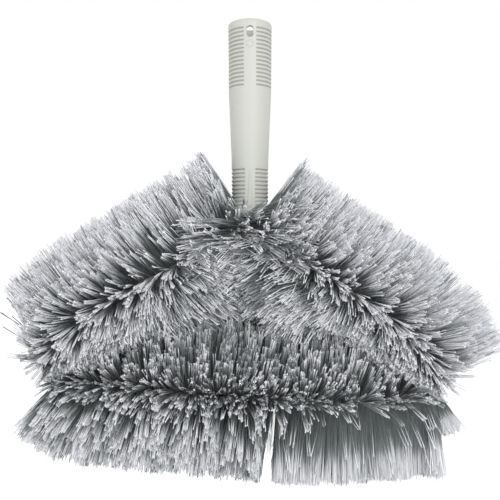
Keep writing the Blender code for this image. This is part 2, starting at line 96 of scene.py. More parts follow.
# How one filament differs from the next: in where it turns pale and in its shade
NOISE_LOW, NOISE_MIDDLE, NOISE_HIGH = 0.3, 0.5, 0.7
WHIM_SCALE, WHIM, WHIM_DETAIL = 61.0, 0.07, 1.0
SHADE_SCALE, DARKEST_SHADE, PALEST_SHADE = 43.0, 0.66, 1.2
# Filaments are smoother from the root to half way than at their crushed tips
SMOOTH_TO_SHARE, ROOT_ROUGHNESS, TIP_ROUGHNESS = 0.5, 0.45, 0.8

# Handle, with the same sizes as its solid but for a rounder rim
GRIP_LENGTH = 50.0 * MM
GRIP_BOTTOM_RADIUS = 16.15 * MM
END_LENGTH = 40.0 * MM
END_TOP_RADIUS = 13.9 * MM
END_RADIUS = 13.7 * MM
SOCKET_RADIUS = 12.8 * MM
SOCKET_DEPTH = 72.0 * MM
WEB_THICKNESS = 4.0 * MM
ANCHOR_BORE_RADIUS = 10.8 * MM
MOUTH_CHAMFER = 0.5 * MM
RIM_ROUND = 2.2 * MM
END_ROUND = 0.8 * MM
GROOVE_PITCH = 3.0 * MM
GROOVE_DEPTH = 0.8 * MM
GROOVE_HALF_WIDTH = 0.8 * MM
GROOVE_STEEPNESS = 1.25
TOP_GROOVES = 15
TOP_GROOVE_DROP = 7.0 * MM
END_GROOVES = 10
END_GROOVE_INSET = 7.5 * MM
STRIP_HALF_ANGLE = math.radians(15.5)
STRIP_EDGE_ANGLE = math.radians(3.5)
SLOT_HALF_WIDTH = 2.6 * MM
SLOT_HEIGHT = 8.7 * MM
SLOT_DROP = 5.6 * MM
RING_DROP = 18.9 * MM
RING_RADIUS = 2.4 * MM
RELIEF_HEIGHT = 0.4 * MM
RELIEF_EDGE = 0.4 * MM
RING_HALF_WIDTH_SHARE = 1.3
TONGUE_TOP_DROP = 110.5 * MM
TONGUE_BOTTOM_DROP = 140.0 * MM
TONGUE_TOP_HALF_WIDTH = 0.7 * MM
TONGUE_BOTTOM_HALF_WIDTH = 2.1 * MM
TONGUE_END_SLOPE = 8.0 * MM
FINE_RING_STEP = 0.3 * MM
FINE_RINGS_PAST_GRIP = 1.0 * MM
TAPER_RINGS = 24
ROUND_STEPS = 6
FRONT_STRIP_STEPS, BACK_STRIP_STEPS, STRIP_EDGE_STEPS, SIDE_STEPS = 42, 12, 4, 44
SLOT_STEPS = 32
CUTTER_MARGIN = 1.0 * MM
MERGE_DISTANCE = 0.01 * MM
SHARP_ANGLE = math.radians(35)

# Stem, with the same route as its solid
LOOP_WIDTH = 314.0 * MM
LOOP_HEIGHT = 145.5 * MM
LEFT_SHOULDER_SHARES = (-0.414, 0.557)
LEFT_CORNER_SHARES = (-0.519, 0.859)
BASE_BOW_SHARES = (0.185, 1.0)
RIGHT_CORNER_SHARES = (0.481, 0.942)
RIGHT_SHOULDER_SHARES = (0.369, 0.591)
LEFT_NECK_DROP = 7.5 * MM
RIGHT_NECK_DROP = 12.0 * MM
NECK_BEND_RADIUS = 9.0 * MM
SHOULDER_BEND_RADIUS = 110.0 * MM
CORNER_BEND_RADIUS = 9.0 * MM
BASE_BEND_RADIUS = 420.0 * MM
STEM_OFFSET = 5.1 * MM
TAIL_ABOVE_END = 45.3 * MM
WIRE_RADIUS = 1.4 * MM
HELIX_RADIUS = 2.5 * MM
TWIST_PITCH = 32.0 * MM
WIRE_POINTS_PER_TURN = 24
WIRE_ROUNDNESS = 3
ROUTE_STEP = 0.5 * MM
DIRECTION_STEP = 1.0 * MM
# Bends of the stem's route by number, and how far past the neck bends the filaments go
LEFT_NECK, LEFT_CORNER, RIGHT_CORNER, RIGHT_NECK = 0, 2, 4, 6
PAST_NECK = 2 * MM

# Filaments with flagged tips
ARM_REACH = 61.0 * MM
BASE_REACH = 59.0 * MM
INWARD_REACH_SHARE = 1.13
LEFT_CORNER_REACH = 42.0 * MM
LEFT_CORNER_FLARE_SHARE = 0.6
CORNER_BEND_REACH = 44.0 * MM
RIGHT_FAN_REACH = 33.0 * MM
FILAMENT_SEED = 7
FILAMENTS_PER_MM = 150
CORNER_FILAMENTS_PER_MM = 90
MOST_FILAMENTS_IN_A_PIECE = 13800
FRONT_SPLIT_SHARE = 0.48
SIDE_SPLIT_SHARE = 0.12
SHADE_COLUMNS = 64
ROOT_RADIUS = 0.13 * MM
MIDDLE_RADIUS = 0.18 * MM
FLAG_RADIUS = 0.32 * MM
WIDTH_SHARES = (0.8, 1.25)
MIDDLE_SHARE = 0.5
SPLIT_START_SHARE = 0.965
SPLIT_POINT_FROM_SHARE = 0.75
SPLIT_POINT_RADIUS = 0.75 * MM
SPLIT_WAIST_RADIUS = 0.3 * MM
SPLIT_DROP_SHARES = (0.0, 0.008, 0.02)
SPLIT_WAIST_DROP_SHARE = 0.022
TWIST_SCATTER = math.radians(48)
LEAN_SCATTER = 0.045
LEAN_SCATTER_LOST_BY_NECK = 0.6
NECK_LEAN_SCATTER = 0.03
INWARD_LEAN_SCATTER = 0.32
LEAN_SCATTER_LOST_BY_PARTING = 0.7
MOST_SCATTERS = 1.8
# Slow waves in the lean and the length: lengths of the waves in mm, and how strong they are
LEAN_WAVES, LEAN_WAVE_SEED = (95, 41, 23), 3
SLANTED_LEAN_WAVES, SLANTED_WAVE_SEED, WAVE_SLANT = (33, 17), 5, 9
LEAN_WAVE_SHARE = 0.07
LENGTH_WAVES, LENGTH_WAVE_SEED = (37, 13), 8
LENGTH_SCATTER = 0.015
# Where along the loop filaments are by the neck, and where in the arms, fading from 1 to 0 and back
BY_NECK = [(0.0, 1.0), (0.12, 0.0), (2.88, 0.0), (3.0, 1.0)]
IN_ARMS = [(0.6, 1.0), (0.8, 0.0), (2.2, 0.0), (2.4, 1.0)]
# Soft steps over a filament's sine or cosine: gain and start of each
BY_SIDE = (1.4, 0.0)
MOSTLY = (1.6, 0.5)
BY_PARTING = (2.2, 0.5)
COMBED_IN_FRONT = (1.5, -0.5)
BEHIND = (2.0, -0.3)
COMBED_BEHIND_SHARE, COMBED_GAIN_IN_FRONT = 0.15, 0.85
# Clumps, from bunches to tufts: how many filaments are in one, and how far they are drawn together:
# at least, at most, and at most where they are pressed
CLUMPS = [(160, 0.0, 0.1, 0.3), (40, 0.0, 0.12, 0.6), (5, 0.55, 0.95, 0.97)]
CLUMP_SPREAD_SHARE = 0.9
# Outward filaments are drawn together less: from which cosine, over what rise and by how much
LOOSER_FROM, LOOSER_RISE, LOOSER_SHARE = 0.5, 0.35, 0.55
TIP_SCATTER = 0.3 * MM
MIDDLE_SCATTER = 0.8 * MM
MIDDLE_FOLLOWS_SHARE = 0.3
TIP_SAG = 1.5 * MM
HANDLE_CLEARANCE = 1.5 * MM
CLEAR_BELOW_HANDLE = 4 * MM
# By the corners filaments in front lie over towards the middle of the loop
CORNER_LEAST_ANGLE = math.radians(112)
CORNER_INWARD_TURN = math.radians(42)
CORNER_TURN_FELT = 18.0 * MM
# The base's filaments run on into the right corner's bend, drawn together, and end in a short fan
RIGHT_BEND_FROM, RIGHT_FAN_FROM, RIGHT_FAN_TO = 1.969, 1.986, 1.994
RIGHT_BEND_SPREAD_SHARE = 0.2

# Where filaments of two runs of the loop press against each other, as shares of the loop
SEAM_TOP_SHARES = (-0.085, 0.02)
SEAM_END_SHARES = (0.0, 0.562)
MEETING_WIDTH_SHARE = 0.42
MEETING_END_MARGIN = 0.02
# How far past such a line a filament may reach, least and most.
# It may reach further from a place on the right arm on, over a short rise.
OVERLAPS = (0.8, 1.35)
RIGHT_OVERLAPS, RIGHT_OVERLAP_FROM, RIGHT_OVERLAP_RISE = (0.4, 1.8), 2.55, 0.1
PRESSED_MIDDLE_SHARE = 0.9
PRESSED_MIDDLE_DEPTH_SHARE, MIDDLE_DEPTH_SHARE = 0.38, 0.5
FAR = 1.0
TINY = 1e-9

# How filaments are combed along the stem. The first number counts along the loop: 0 at the left
# neck, 1 and 2 at the lower corners, 3 at the right neck. The second is the lean per unit length.
INWARD_LEAN_SHARES = [
    (0.0, 0.0), (0.06, -0.5), (0.12, -1.0), (0.28, -0.9), (0.36, -0.7), (0.41, 0.2), (0.6, 0.1),
    (0.9, 0.0), (2.1, 0.0), (2.45, 0.25), (2.7, 0.5), (2.88, 0.8), (2.94, 0.5), (3.0, 0.0),
]
OUTWARD_LEAN_SHARES = [
    (0.5, 0.0), (0.75, -0.12), (0.9, -0.35), (0.99, -0.67), (1.01, -0.42), (1.18, -0.1), (1.3, 0.0),
    (1.8, -0.06), (1.968, -0.12), (1.98, -0.46), (1.986, -0.7), (1.99, -0.45), (1.994, -0.29),
    (2.01, 0.08), (2.35, 0.0), (2.9, -0.05), (3.0, 0.0),
]
NECK_SWEEP_SHARES = [(0.012, -1.3), (0.03, -0.4), (0.045, 0.0), (2.955, 0.0), (2.97, 0.3), (2.988, 1.15)]
NECK_LEAN_SHARES = [(0.0, -0.09), (0.1, 0.0), (2.9, 0.0), (3.0, 0.08)]
# How far filaments in front of the outward side are pressed flat, along the loop as above, and up to
# which angle from outward: in degrees, with what full pressing adds to the limit and takes off its fade
FLATTENED_SHARES = [
    (0.0, 0.3), (0.15, 0.55), (0.35, 0.5), (0.55, 0.1), (1.4, 0.1), (1.57, 0.3), (1.605, 0.8), (1.7, 0.8),
    (1.76, 0.92), (2.0, 0.92), (2.02, 0.15), (3.0, 0.15),
]
FLAT_LIMIT_DEGREES, FLAT_LIMIT_GAIN_DEGREES = 88, 10
FLAT_FADE_DEGREES, FLAT_FADE_LOSS_DEGREES = 14, 10
# Share of the tufts whose tips stay dark, along the loop as above: outer side, inner side, front of the neck
OUTER_DARK_SHARES = [
    (0.0, 0.15), (0.1, 0.05), (1.0, 0.1), (1.1, 0.25), (1.5, 0.25), (1.6, 0.1), (2.1, 0.03), (2.9, 0.03),
    (3.0, 0.1),
]
INNER_DARK_SHARES = [
    (0.0, 0.5), (0.5, 0.3), (0.8, 0.2), (1.1, 0.45), (1.3, 0.62), (1.7, 0.55), (1.95, 0.1), (2.2, 0.05),
    (2.4, 0.2), (2.7, 0.3), (3.0, 0.45),
]
NECK_FRONT_DARK_SHARES = [(0.0, 0.95), (0.08, 0.0), (2.92, 0.0), (3.0, 0.9)]
# A dark line along the base, where filaments in front part: share of dark tufts, slant and half width
LINE_DARK_SHARES = [(0.95, 0.0), (1.05, 0.95), (1.9, 0.95), (1.98, 0.0)]
LINE_ANGLE = math.radians(104)
LINE_HALF_ANGLE = math.radians(8)
# How far towards their pale tips the colouring runs, on the outer side, on the inner side and in front
# On the right arm, from 2.1 on, the outer filaments turn pale sooner: painted light, for the brighter light
# that falls on that side
OUTER_PALE_SHARES = [
    (0.0, 0.96), (0.1, 0.98), (0.9, 0.98), (1.0, 1.0), (1.56, 1.0), (2.0, 1.03), (2.1, 1.3), (2.9, 1.3),
    (3.0, 1.1),
]
INNER_PALE_SHARE = 0.94
FRONT_PALE_SHARES = [
    (0.0, 1.1), (0.15, 1.19), (0.9, 1.16), (1.1, 1.0), (1.7, 1.0), (1.9, 1.2), (2.0, 1.3), (2.3, 1.3),
    (2.6, 1.18), (2.9, 1.18), (3.0, 1.1),
]
BUNCH_PALE_SCATTER = 0.11
# Stray filaments by the lower left corner: where they begin, how many, how far outward, how long, how combed
STRAYS_FROM = 0.86
STRAY_SHARE = 0.05
STRAY_LEAST_COSINE = 0.8
STRAY_REACH_SHARE = 0.92
STRAY_LEANS = (-0.5, 0.1)
# How far the colouring runs in tufts whose tips stay dark
DARK_TIP_REACH_SHARES = (0.6, 0.8)
# Patches in front, where nearly every tip is dark: place on the loop, across and down, and size
DARK_TIP_PATCHES = [
    (-0.004, 0.42, 13.0 * MM), (-0.03, 0.1, 12.0 * MM), (0.035, 0.17, 11.0 * MM), (0.09, 0.2, 9.0 * MM),
]
PATCH_STEEPNESS = 4
# How ragged the ends of the outer side are: the most by which one falls short
RAGGED_SHARES = [(0.0, 0.34), (0.95, 0.34), (1.05, 0.18), (1.95, 0.18), (2.05, 0.34), (3.0, 0.34)]
RAGGED_POWER = 1.2
# How the rest are cut: the longest, the most by which one falls short, and how few do
LONGEST_SHARE, SHORT_SHARE, SHORT_POWER = 1.02, 0.16, 2
# How much of its depth a filament keeps where it is pressed against those of another run
PRESSED_DEPTH_SHARES = [(0.0, 0.4), (0.35, 0.5), (0.6, 0.75), (2.5, 0.75), (3.0, 0.7)]
# How far filaments on the inner side are laid over towards one slant, along the loop as above
LAID_OVER_SHARES = [(0.0, 0.3), (0.5, 0.2), (0.7, 0.0), (2.4, 0.0), (2.6, 0.6), (3.0, 0.7)]
LAID_OVER_ANGLE = math.radians(145)
LAID_OVER_FROM = math.radians(92)
LAID_OVER_FADE = math.radians(20)
# Partings between outward filaments: place along the loop, lean away from it and how far it is felt
BASE_PARTING = (1.585, 0.13, 10.0 * MM)
PARTINGS = [
    (0.2, 0.08, 5.0 * MM), (0.43, 0.06, 5.0 * MM), (0.88, 0.06, 4.0 * MM), (1.13, 0.07, 5.0 * MM),
    (1.43, 0.05, 4.0 * MM), BASE_PARTING, (2.3, 0.06, 3.5 * MM), (2.36, 0.06, 3.5 * MM),
    (2.66, 0.03, 5.0 * MM),
]


def smoothstep(values):
    values = np.clip(values, 0.0, 1.0)
    return values * values * (3.0 - 2.0 * values)


def soft_step(values, step):
    gain, start = step
    return smoothstep(values * gain - start)


def read_table(table, place):
    """Reads a table of (place along the loop, value) at each filament's place."""
    return np.interp(place, *zip(*table))


# Materials
def node_group(name, inputs, outputs):
    group = bpy.data.node_groups.new(name, "ShaderNodeTree")
    for label, kind, value in inputs:
        socket = group.interface.new_socket(label, in_out="INPUT", socket_type=kind)
        socket.default_value = value
    for label, kind in outputs:
        group.interface.new_socket(label, in_out="OUTPUT", socket_type=kind)
    return group, group.nodes.new("NodeGroupInput"), group.nodes.new("NodeGroupOutput")


def put(tree, socket, value):
    """Links a socket to another one, or gives it a plain value."""
    if isinstance(value, bpy.types.NodeSocket):
        tree.links.new(value, socket)
    else:
        socket.default_value = value


def maths(tree, operation, *values):
    node = tree.nodes.new("ShaderNodeMath")
    node.operation = operation
    for socket, value in zip(node.inputs, values):
        put(tree, socket, value)
    return node.outputs["Value"]


def scaled(tree, colour, factor):
    node = tree.nodes.new("ShaderNodeVectorMath")
    node.operation = "SCALE"
    put(tree, node.inputs[0], colour)
    put(tree, node.inputs["Scale"], factor)
    return node.outputs["Vector"]


def noise(tree, vector, scale, detail):
    node = tree.nodes.new("ShaderNodeTexNoise")
    for label, value in (("Vector", vector), ("Scale", scale), ("Detail", detail)):
        put(tree, node.inputs[label], value)
    return node.outputs["Fac"]


def remap(tree, value, low, high, to_low, to_high):
    node = tree.nodes.new("ShaderNodeMapRange")
    for socket, given in zip(node.inputs, (value, low, high, to_low, to_high)):
        put(tree, socket, given)
    return node.outputs["Result"]


def new_material(name):
    material = bpy.data.materials.new(name)
    material.use_nodes = True
    tree = material.node_tree
    return material, tree, tree.nodes["Principled BSDF"]


def surface_grain():
    """Faint blotches, a roughness that varies and a fine grain, for moulded and drawn surfaces."""
    group, given, made = node_group(
        "surface_grain",
        [
            ("Colour", "NodeSocketColor", (0.8, 0.8, 0.8, 1.0)),
            ("Blotch", "NodeSocketFloat", 0.05),
            ("Blotch Scale", "NodeSocketFloat", BLOTCH_SCALE),
            ("Roughness", "NodeSocketFloat", 0.45),
            ("Grain", "NodeSocketFloat", 0.1),
            ("Grain Scale", "NodeSocketFloat", GRAIN_SCALE),
        ],
        [("Colour", "NodeSocketColor"), ("Roughness", "NodeSocketFloat"), ("Normal", "NodeSocketVector")],
    )
    given, made = given.outputs, made.inputs
    place = group.nodes.new("ShaderNodeTexCoord").outputs["Object"]
    blotches = noise(group, place, given["Blotch Scale"], BLOTCH_DETAIL)
    shift = maths(group, "SUBTRACT", blotches, NOISE_MIDDLE)
    amount = maths(group, "MULTIPLY_ADD", shift, given["Blotch"], 1.0)
    put(group, made["Colour"], scaled(group, given["Colour"], amount))
    put(group, made["Roughness"], maths(group, "MULTIPLY_ADD", shift, ROUGHNESS_SWING, given["Roughness"]))
    bump = group.nodes.new("ShaderNodeBump")
    put(group, bump.inputs["Distance"], GRAIN_HEIGHT)
    put(group, bump.inputs["Strength"], given["Grain"])
    put(group, bump.inputs["Height"], noise(group, place, given["Grain Scale"], GRAIN_DETAIL))
    put(group, made["Normal"], bump.outputs["Normal"])
    return group


def grained_material(name, group, colour, roughness, grain, blotch, metallic):
    material, tree, shader = new_material(name)
    shader.inputs["Metallic"].default_value = metallic
    surface = tree.nodes.new("ShaderNodeGroup")
    surface.node_tree = group
    surface.inputs["Colour"].default_value = (*colour, 1.0)
    surface.inputs["Roughness"].default_value = roughness
    surface.inputs["Grain"].default_value = grain
    surface.inputs["Blotch"].default_value = blotch
    tree.links.new(surface.outputs["Colour"], shader.inputs["Base Color"])
    tree.links.new(surface.outputs["Roughness"], shader.inputs["Roughness"])
    tree.links.new(surface.outputs["Normal"], shader.inputs["Normal"])
    return material


def painted_groove_shade(material):
    """Darkens and warms a plastic's colour where its mesh is marked as a groove: painted shade in the
    grooves.
    """
    nodes, links = material.node_tree.nodes, material.node_tree.links
    shader = nodes["Principled BSDF"]
    mark = nodes.new("ShaderNodeAttribute")
    mark.attribute_name = "groove"
    tint = nodes.new("ShaderNodeMix")
    tint.data_type = "RGBA"
    tint.inputs["A"].default_value = (1.0, 1.0, 1.0, 1.0)
    tint.inputs["B"].default_value = GROOVE_SHADE_TINT
    links.new(mark.outputs["Fac"], tint.inputs["Factor"])
    shaded_colour = nodes.new("ShaderNodeVectorMath")
    shaded_colour.operation = "MULTIPLY"
    # Painted shade: the plastic's colour is darkened and warmed down in the grooves
    links.new(shader.inputs["Base Color"].links[0].from_socket, shaded_colour.inputs[0])
    links.new(tint.outputs["Result"], shaded_colour.inputs[1])
    links.new(shaded_colour.outputs["Vector"], shader.inputs["Base Color"])
    return material


def filament_material():
    """Dark filaments, with painted shade towards their roots, that pale towards their flagged tips, each a
    little different.
    """
    material, tree, shader = new_material("flagged_grey_filament")
    for label, value in FILAMENT_SURFACE.items():
        shader.inputs[label].default_value = value
    filament_map = tree.nodes.new("ShaderNodeUVMap")
    filament_map.uv_map = "OFBake"
    split = tree.nodes.new("ShaderNodeSeparateXYZ")
    put(tree, split.inputs["Vector"], filament_map.outputs["UV"])
    across = tree.nodes.new("ShaderNodeCombineXYZ")
    put(tree, across.inputs["X"], split.outputs["X"])
    whim = noise(tree, across.outputs["Vector"], WHIM_SCALE, WHIM_DETAIL)
    shade = noise(tree, across.outputs["Vector"], SHADE_SCALE, WHIM_DETAIL)
    ramp = tree.nodes.new("ShaderNodeValToRGB")
    shift = remap(tree, whim, NOISE_LOW, NOISE_HIGH, -WHIM, WHIM)
    put(tree, ramp.inputs["Fac"], maths(tree, "ADD", split.outputs["Y"], shift))
    stops = ramp.color_ramp.elements
    while len(stops) < len(FILAMENT_COLOURS):
        stops.new(FILAMENT_COLOURS[-1][0])
    for stop, (position, colour) in zip(stops, FILAMENT_COLOURS):
        stop.position = position
        stop.color = (*colour, 1.0)
    shades = remap(tree, shade, NOISE_LOW, NOISE_HIGH, DARKEST_SHADE, PALEST_SHADE)
    put(tree, shader.inputs["Base Color"], scaled(tree, ramp.outputs["Color"], shades))
    rough = remap(tree, split.outputs["Y"], SMOOTH_TO_SHARE, 1.0, ROOT_ROUGHNESS, TIP_ROUGHNESS)
    put(tree, shader.inputs["Roughness"], rough)
    return material


def linked(name, data):
    obj = bpy.data.objects.new(name, data)
    bpy.context.scene.collection.objects.link(obj)
    return obj


def mesh_of(name, bm):
    mesh = bpy.data.meshes.new(name)
    bm.to_mesh(mesh)
    bm.free()
    return mesh


def dress(name, mesh, material, slot, *nodes):
    mesh.materials.clear()
    mesh.materials.append(material)
    piece = linked(name, mesh)
    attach(piece, "root")
    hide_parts(*nodes)


def applied(obj):
    """The mesh of an object with its modifiers, or of a curve; the object is taken away."""
    shape = obj.evaluated_get(bpy.context.evaluated_depsgraph_get())
    mesh = bpy.data.meshes.new_from_object(shape)
    bpy.data.objects.remove(obj)
    return mesh


# Handle
def handle_radius(drop, grip_radius, length):
    stations = [0.0, GRIP_LENGTH, length - END_LENGTH, length]
    radii = [grip_radius, GRIP_BOTTOM_RADIUS, END_TOP_RADIUS, END_RADIUS]
    return np.interp(drop, stations, radii)


def quarter_round(centre, centre_drop, size, start):
    angles = [start - math.pi / 2 * step / ROUND_STEPS for step in range(ROUND_STEPS + 1)]
    return [(centre + size * math.cos(a), centre_drop - size * math.sin(a)) for a in angles]


def handle_profile(grip_radius, length):
    """(radius, drop below the mouth) down the outside and back up the two bores."""
    points = [(0.0, SOCKET_DEPTH), (SOCKET_RADIUS, SOCKET_DEPTH), (SOCKET_RADIUS, MOUTH_CHAMFER)]
    points.append((SOCKET_RADIUS + MOUTH_CHAMFER, 0.0))
    rim = float(handle_radius(RIM_ROUND, grip_radius, length)) - RIM_ROUND
    points += quarter_round(rim, RIM_ROUND, RIM_ROUND, math.pi / 2)
    taper_top, taper_bottom = GRIP_LENGTH + FINE_RINGS_PAST_GRIP, length - END_LENGTH
    drops = list(np.arange(RIM_ROUND + FINE_RING_STEP, taper_top, FINE_RING_STEP))
    drops += list(np.linspace(taper_top, taper_bottom, TAPER_RINGS)[:-1])
    drops += list(np.arange(taper_bottom, length - END_ROUND - FINE_RING_STEP / 2, FINE_RING_STEP))
    points += [(float(handle_radius(drop, grip_radius, length)), drop) for drop in drops]
    points += quarter_round(END_RADIUS - END_ROUND, length - END_ROUND, END_ROUND, 0.0)
    points += [(ANCHOR_BORE_RADIUS, length), (ANCHOR_BORE_RADIUS, SOCKET_DEPTH + WEB_THICKNESS)]
    points.append((0.0, SOCKET_DEPTH + WEB_THICKNESS))
    return points


def groove_shares(drop, around, length):
    """1 along the middle of each grip groove and 0 between them and on the plain strips."""
    first_end_groove = length - END_LENGTH + END_GROOVE_INSET
    centres = [TOP_GROOVE_DROP + GROOVE_PITCH * n for n in range(TOP_GROOVES)]
    centres += [first_end_groove + GROOVE_PITCH * n for n in range(END_GROOVES)]
    nearest = np.min(np.abs(drop[:, None] - np.array(centres)[None, :]), axis=1)
    groove = smoothstep(GROOVE_STEEPNESS * (1.0 - nearest / GROOVE_HALF_WIDTH))
    from_strip = np.minimum(np.abs(around), np.pi - np.abs(around)) - STRIP_HALF_ANGLE
    return groove * smoothstep(from_strip / STRIP_EDGE_ANGLE)


def relief(drop, around, radius, length):
    """How far the outer surface stands out: grooves at the sides, plain raised marks in front."""
    out = -GROOVE_DEPTH * groove_shares(drop, around, length)
    sideways = radius * around
    from_ring = np.abs(np.hypot(sideways, drop - RING_DROP) - RING_RADIUS)
    out += RELIEF_HEIGHT * smoothstep(RING_HALF_WIDTH_SHARE - from_ring / RELIEF_EDGE)
    down = (drop - TONGUE_TOP_DROP) / (TONGUE_BOTTOM_DROP - TONGUE_TOP_DROP)
    width = TONGUE_TOP_HALF_WIDTH + (TONGUE_BOTTOM_HALF_WIDTH - TONGUE_TOP_HALF_WIDTH) * down
    inside = np.minimum(width - np.abs(sideways), np.minimum(down, 1.0 - down) * TONGUE_END_SLOPE)
    return out + RELIEF_HEIGHT * smoothstep(inside / RELIEF_EDGE)


def slot_cutter(reach):
    bm = bmesh.new()
    bmesh.ops.create_circle(bm, cap_ends=True, segments=SLOT_STEPS, radius=SLOT_HALF_WIDTH)
    for vert in bm.verts:
        stretch = math.copysign(SLOT_HEIGHT / 2 - SLOT_HALF_WIDTH, vert.co.y)
        vert.co = (vert.co.x, -reach, vert.co.y + stretch - SLOT_DROP - SLOT_HEIGHT / 2)
    side = bmesh.ops.extrude_face_region(bm, geom=list(bm.faces))["geom"]
    moved = [item for item in side if isinstance(item, bmesh.types.BMVert)]
    bmesh.ops.translate(bm, verts=moved, vec=(0, 2 * reach, 0))
    bmesh.ops.recalc_face_normals(bm, faces=bm.faces)
    return linked("slot_cutter", mesh_of("slot_cutter", bm))


def outer_places(mesh, length):
    """Every vertex, its drop, radius and angle, and whether it is on the outside that has the relief."""
    places = np.empty(len(mesh.vertices) * 3)
    mesh.vertices.foreach_get("co", places)
    places = places.reshape(-1, 3)
    drop = -places[:, 2]
    radius = np.hypot(places[:, 0], places[:, 1])
    around = np.arctan2(places[:, 0], -places[:, 1])
    outer = (drop > RIM_ROUND) & (drop < length - END_ROUND) & (radius > SOCKET_RADIUS + MOUTH_CHAMFER / 2)
    return places, drop, radius, around, outer


def mark_grooves(mesh, length):
    """Keeps how deep in a groove each vertex lies, for the shade that is painted there."""
    _, drop, _, around, outer = outer_places(mesh, length)
    shares = np.where(outer, groove_shares(drop, around, length), 0.0)
    mesh.attributes.new("groove", "FLOAT", "POINT").data.foreach_set("value", shares)


def turned_handle(grip_radius, length):
    """The handle's profile spun round its axis, in finer steps beside the grooves' ends and in front."""
    bm = bmesh.new()
    strip, edge = 2 * STRIP_HALF_ANGLE, STRIP_EDGE_ANGLE
    side = math.pi - strip - 2 * edge
    start = -math.pi / 2 - strip / 2
    across = Vector((math.cos(start), math.sin(start), 0))
    points = handle_profile(grip_radius, length)
    verts = [bm.verts.new(across * radius - Vector((0, 0, drop))) for radius, drop in points]
    last = [bm.edges.new(pair) for pair in zip(verts, verts[1:])] + verts
    flank = [(edge, STRIP_EDGE_STEPS), (side, SIDE_STEPS), (edge, STRIP_EDGE_STEPS)]
    for angle, steps in [(strip, FRONT_STRIP_STEPS), *flank, (strip, BACK_STRIP_STEPS), *flank]:
        spun = bmesh.ops.spin(bm, geom=last, cent=(0, 0, 0), axis=(0, 0, 1), angle=angle, steps=steps)
        last = spun["geom_last"]
    bmesh.ops.remove_doubles(bm, verts=bm.verts, dist=MERGE_DISTANCE)
    bmesh.ops.recalc_face_normals(bm, faces=bm.faces)
    return mesh_of("handle_turning", bm)


def build_handle(plastic):
    low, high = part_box("handle_shell")
    grip_radius, length = high[0], high[2] - low[2]
    mesh = turned_handle(grip_radius, length)
    places, drop, radius, around, outer = outer_places(mesh, length)
    out = relief(drop[outer], around[outer], radius[outer], length)
    places[outer, :2] *= (1.0 + out / radius[outer])[:, None]
    mesh.vertices.foreach_set("co", places.ravel())

    turning = linked("handle_turning", mesh)
    cutter = slot_cutter(grip_radius + CUTTER_MARGIN)
    boolean = turning.modifiers.new("slot", "BOOLEAN")
    boolean.operation = "DIFFERENCE"
    boolean.object = cutter
    moulded = applied(turning)
    bpy.data.objects.remove(cutter)
    mark_grooves(moulded, length)
    moulded.shade_smooth()
    moulded.set_sharp_from_angle(angle=SHARP_ANGLE)
    dress("moulded_handle", moulded, plastic, "handle_plastic", "handle_shell")


# Stem
class StemRoute:
    """The stem's centre line, straight runs joined by arcs, read by distance along it."""

    def __init__(self, end):
        self.end = end
        self.bends = []
        places = []
        corners = self.corners()
        at = corners[0][0]
        done = 0.0
        for (corner, radius), (after, _) in zip(corners[1:], corners[2:]):
            way_in = (corner - at).normalized()
            way_out = (after - corner).normalized()
            turn = way_in.angle(way_out)
            trim = radius * math.tan(turn / 2)
            begin = corner - way_in * trim
            places += self.steps(at, begin)
            side = (way_out - way_in * way_in.dot(way_out)).normalized()
            centre = begin + side * radius
            count = max(2, round(turn * radius / ROUTE_STEP))
            for step in range(count):
                angle = turn * step / count
                offset = way_in * math.sin(angle) - side * math.cos(angle)
                places.append(centre + offset * radius)
            begin_along = done + (begin - at).length
            done = begin_along + turn * radius
            self.bends.append((begin_along, done, centre))
            at = corner + way_out * trim
        places += self.steps(at, corners[-1][0])
        self.places = np.array(places)
        gaps = np.linalg.norm(np.diff(self.places, axis=0), axis=1)
        self.marks = np.concatenate([[0.0], np.cumsum(gaps)])
        self.length = self.marks[-1]

    def on_loop(self, shares):
        return Vector((shares[0] * LOOP_WIDTH, 0, self.end - shares[1] * LOOP_HEIGHT))

    def corners(self):
        tail = self.end + TAIL_ABOVE_END
        return [
            (Vector((-STEM_OFFSET, 0, tail)), 0.0),
            (Vector((-STEM_OFFSET, 0, self.end - LEFT_NECK_DROP)), NECK_BEND_RADIUS),
            (self.on_loop(LEFT_SHOULDER_SHARES), SHOULDER_BEND_RADIUS),
            (self.on_loop(LEFT_CORNER_SHARES), CORNER_BEND_RADIUS),
            (self.on_loop(BASE_BOW_SHARES), BASE_BEND_RADIUS),
            (self.on_loop(RIGHT_CORNER_SHARES), CORNER_BEND_RADIUS),
            (self.on_loop(RIGHT_SHOULDER_SHARES), SHOULDER_BEND_RADIUS),
            (Vector((STEM_OFFSET, 0, self.end - RIGHT_NECK_DROP)), NECK_BEND_RADIUS),
            (Vector((STEM_OFFSET, 0, tail)), 0.0),
        ]

    def steps(self, start, finish):
        count = max(2, round((finish - start).length / ROUTE_STEP))
        return [start.lerp(finish, step / count) for step in range(count)]

    def at(self, along):
        """Places, directions of travel and outward directions at distances along the stem."""
        travel = self.place_at(along + DIRECTION_STEP) - self.place_at(along - DIRECTION_STEP)
        travel /= np.linalg.norm(travel, axis=-1, keepdims=True)
        outward = np.stack([travel[..., 2], np.zeros_like(along), -travel[..., 0]], axis=-1)
        return self.place_at(along), travel, outward

    def place_at(self, along):
        return np.stack([np.interp(along, self.marks, self.places[:, n]) for n in range(3)], axis=-1)

    def count_along(self, along):
        """0 at the left neck, 1 and 2 in the middle of the lower corners, 3 at the right neck."""
        return np.interp(along, self.count_marks(), range(4))

    def mark_at(self, count):
        return float(np.interp(count, range(4), self.count_marks()))

    def count_marks(self):
        corners = [sum(self.bends[n][:2]) / 2 for n in (LEFT_CORNER, RIGHT_CORNER)]
        return [self.bends[LEFT_NECK][0] - PAST_NECK, *corners, self.bends[RIGHT_NECK][1] + PAST_NECK]

    def nearest(self, point):
        return self.marks[np.argmin(np.linalg.norm(self.places - np.array(point), axis=1))]


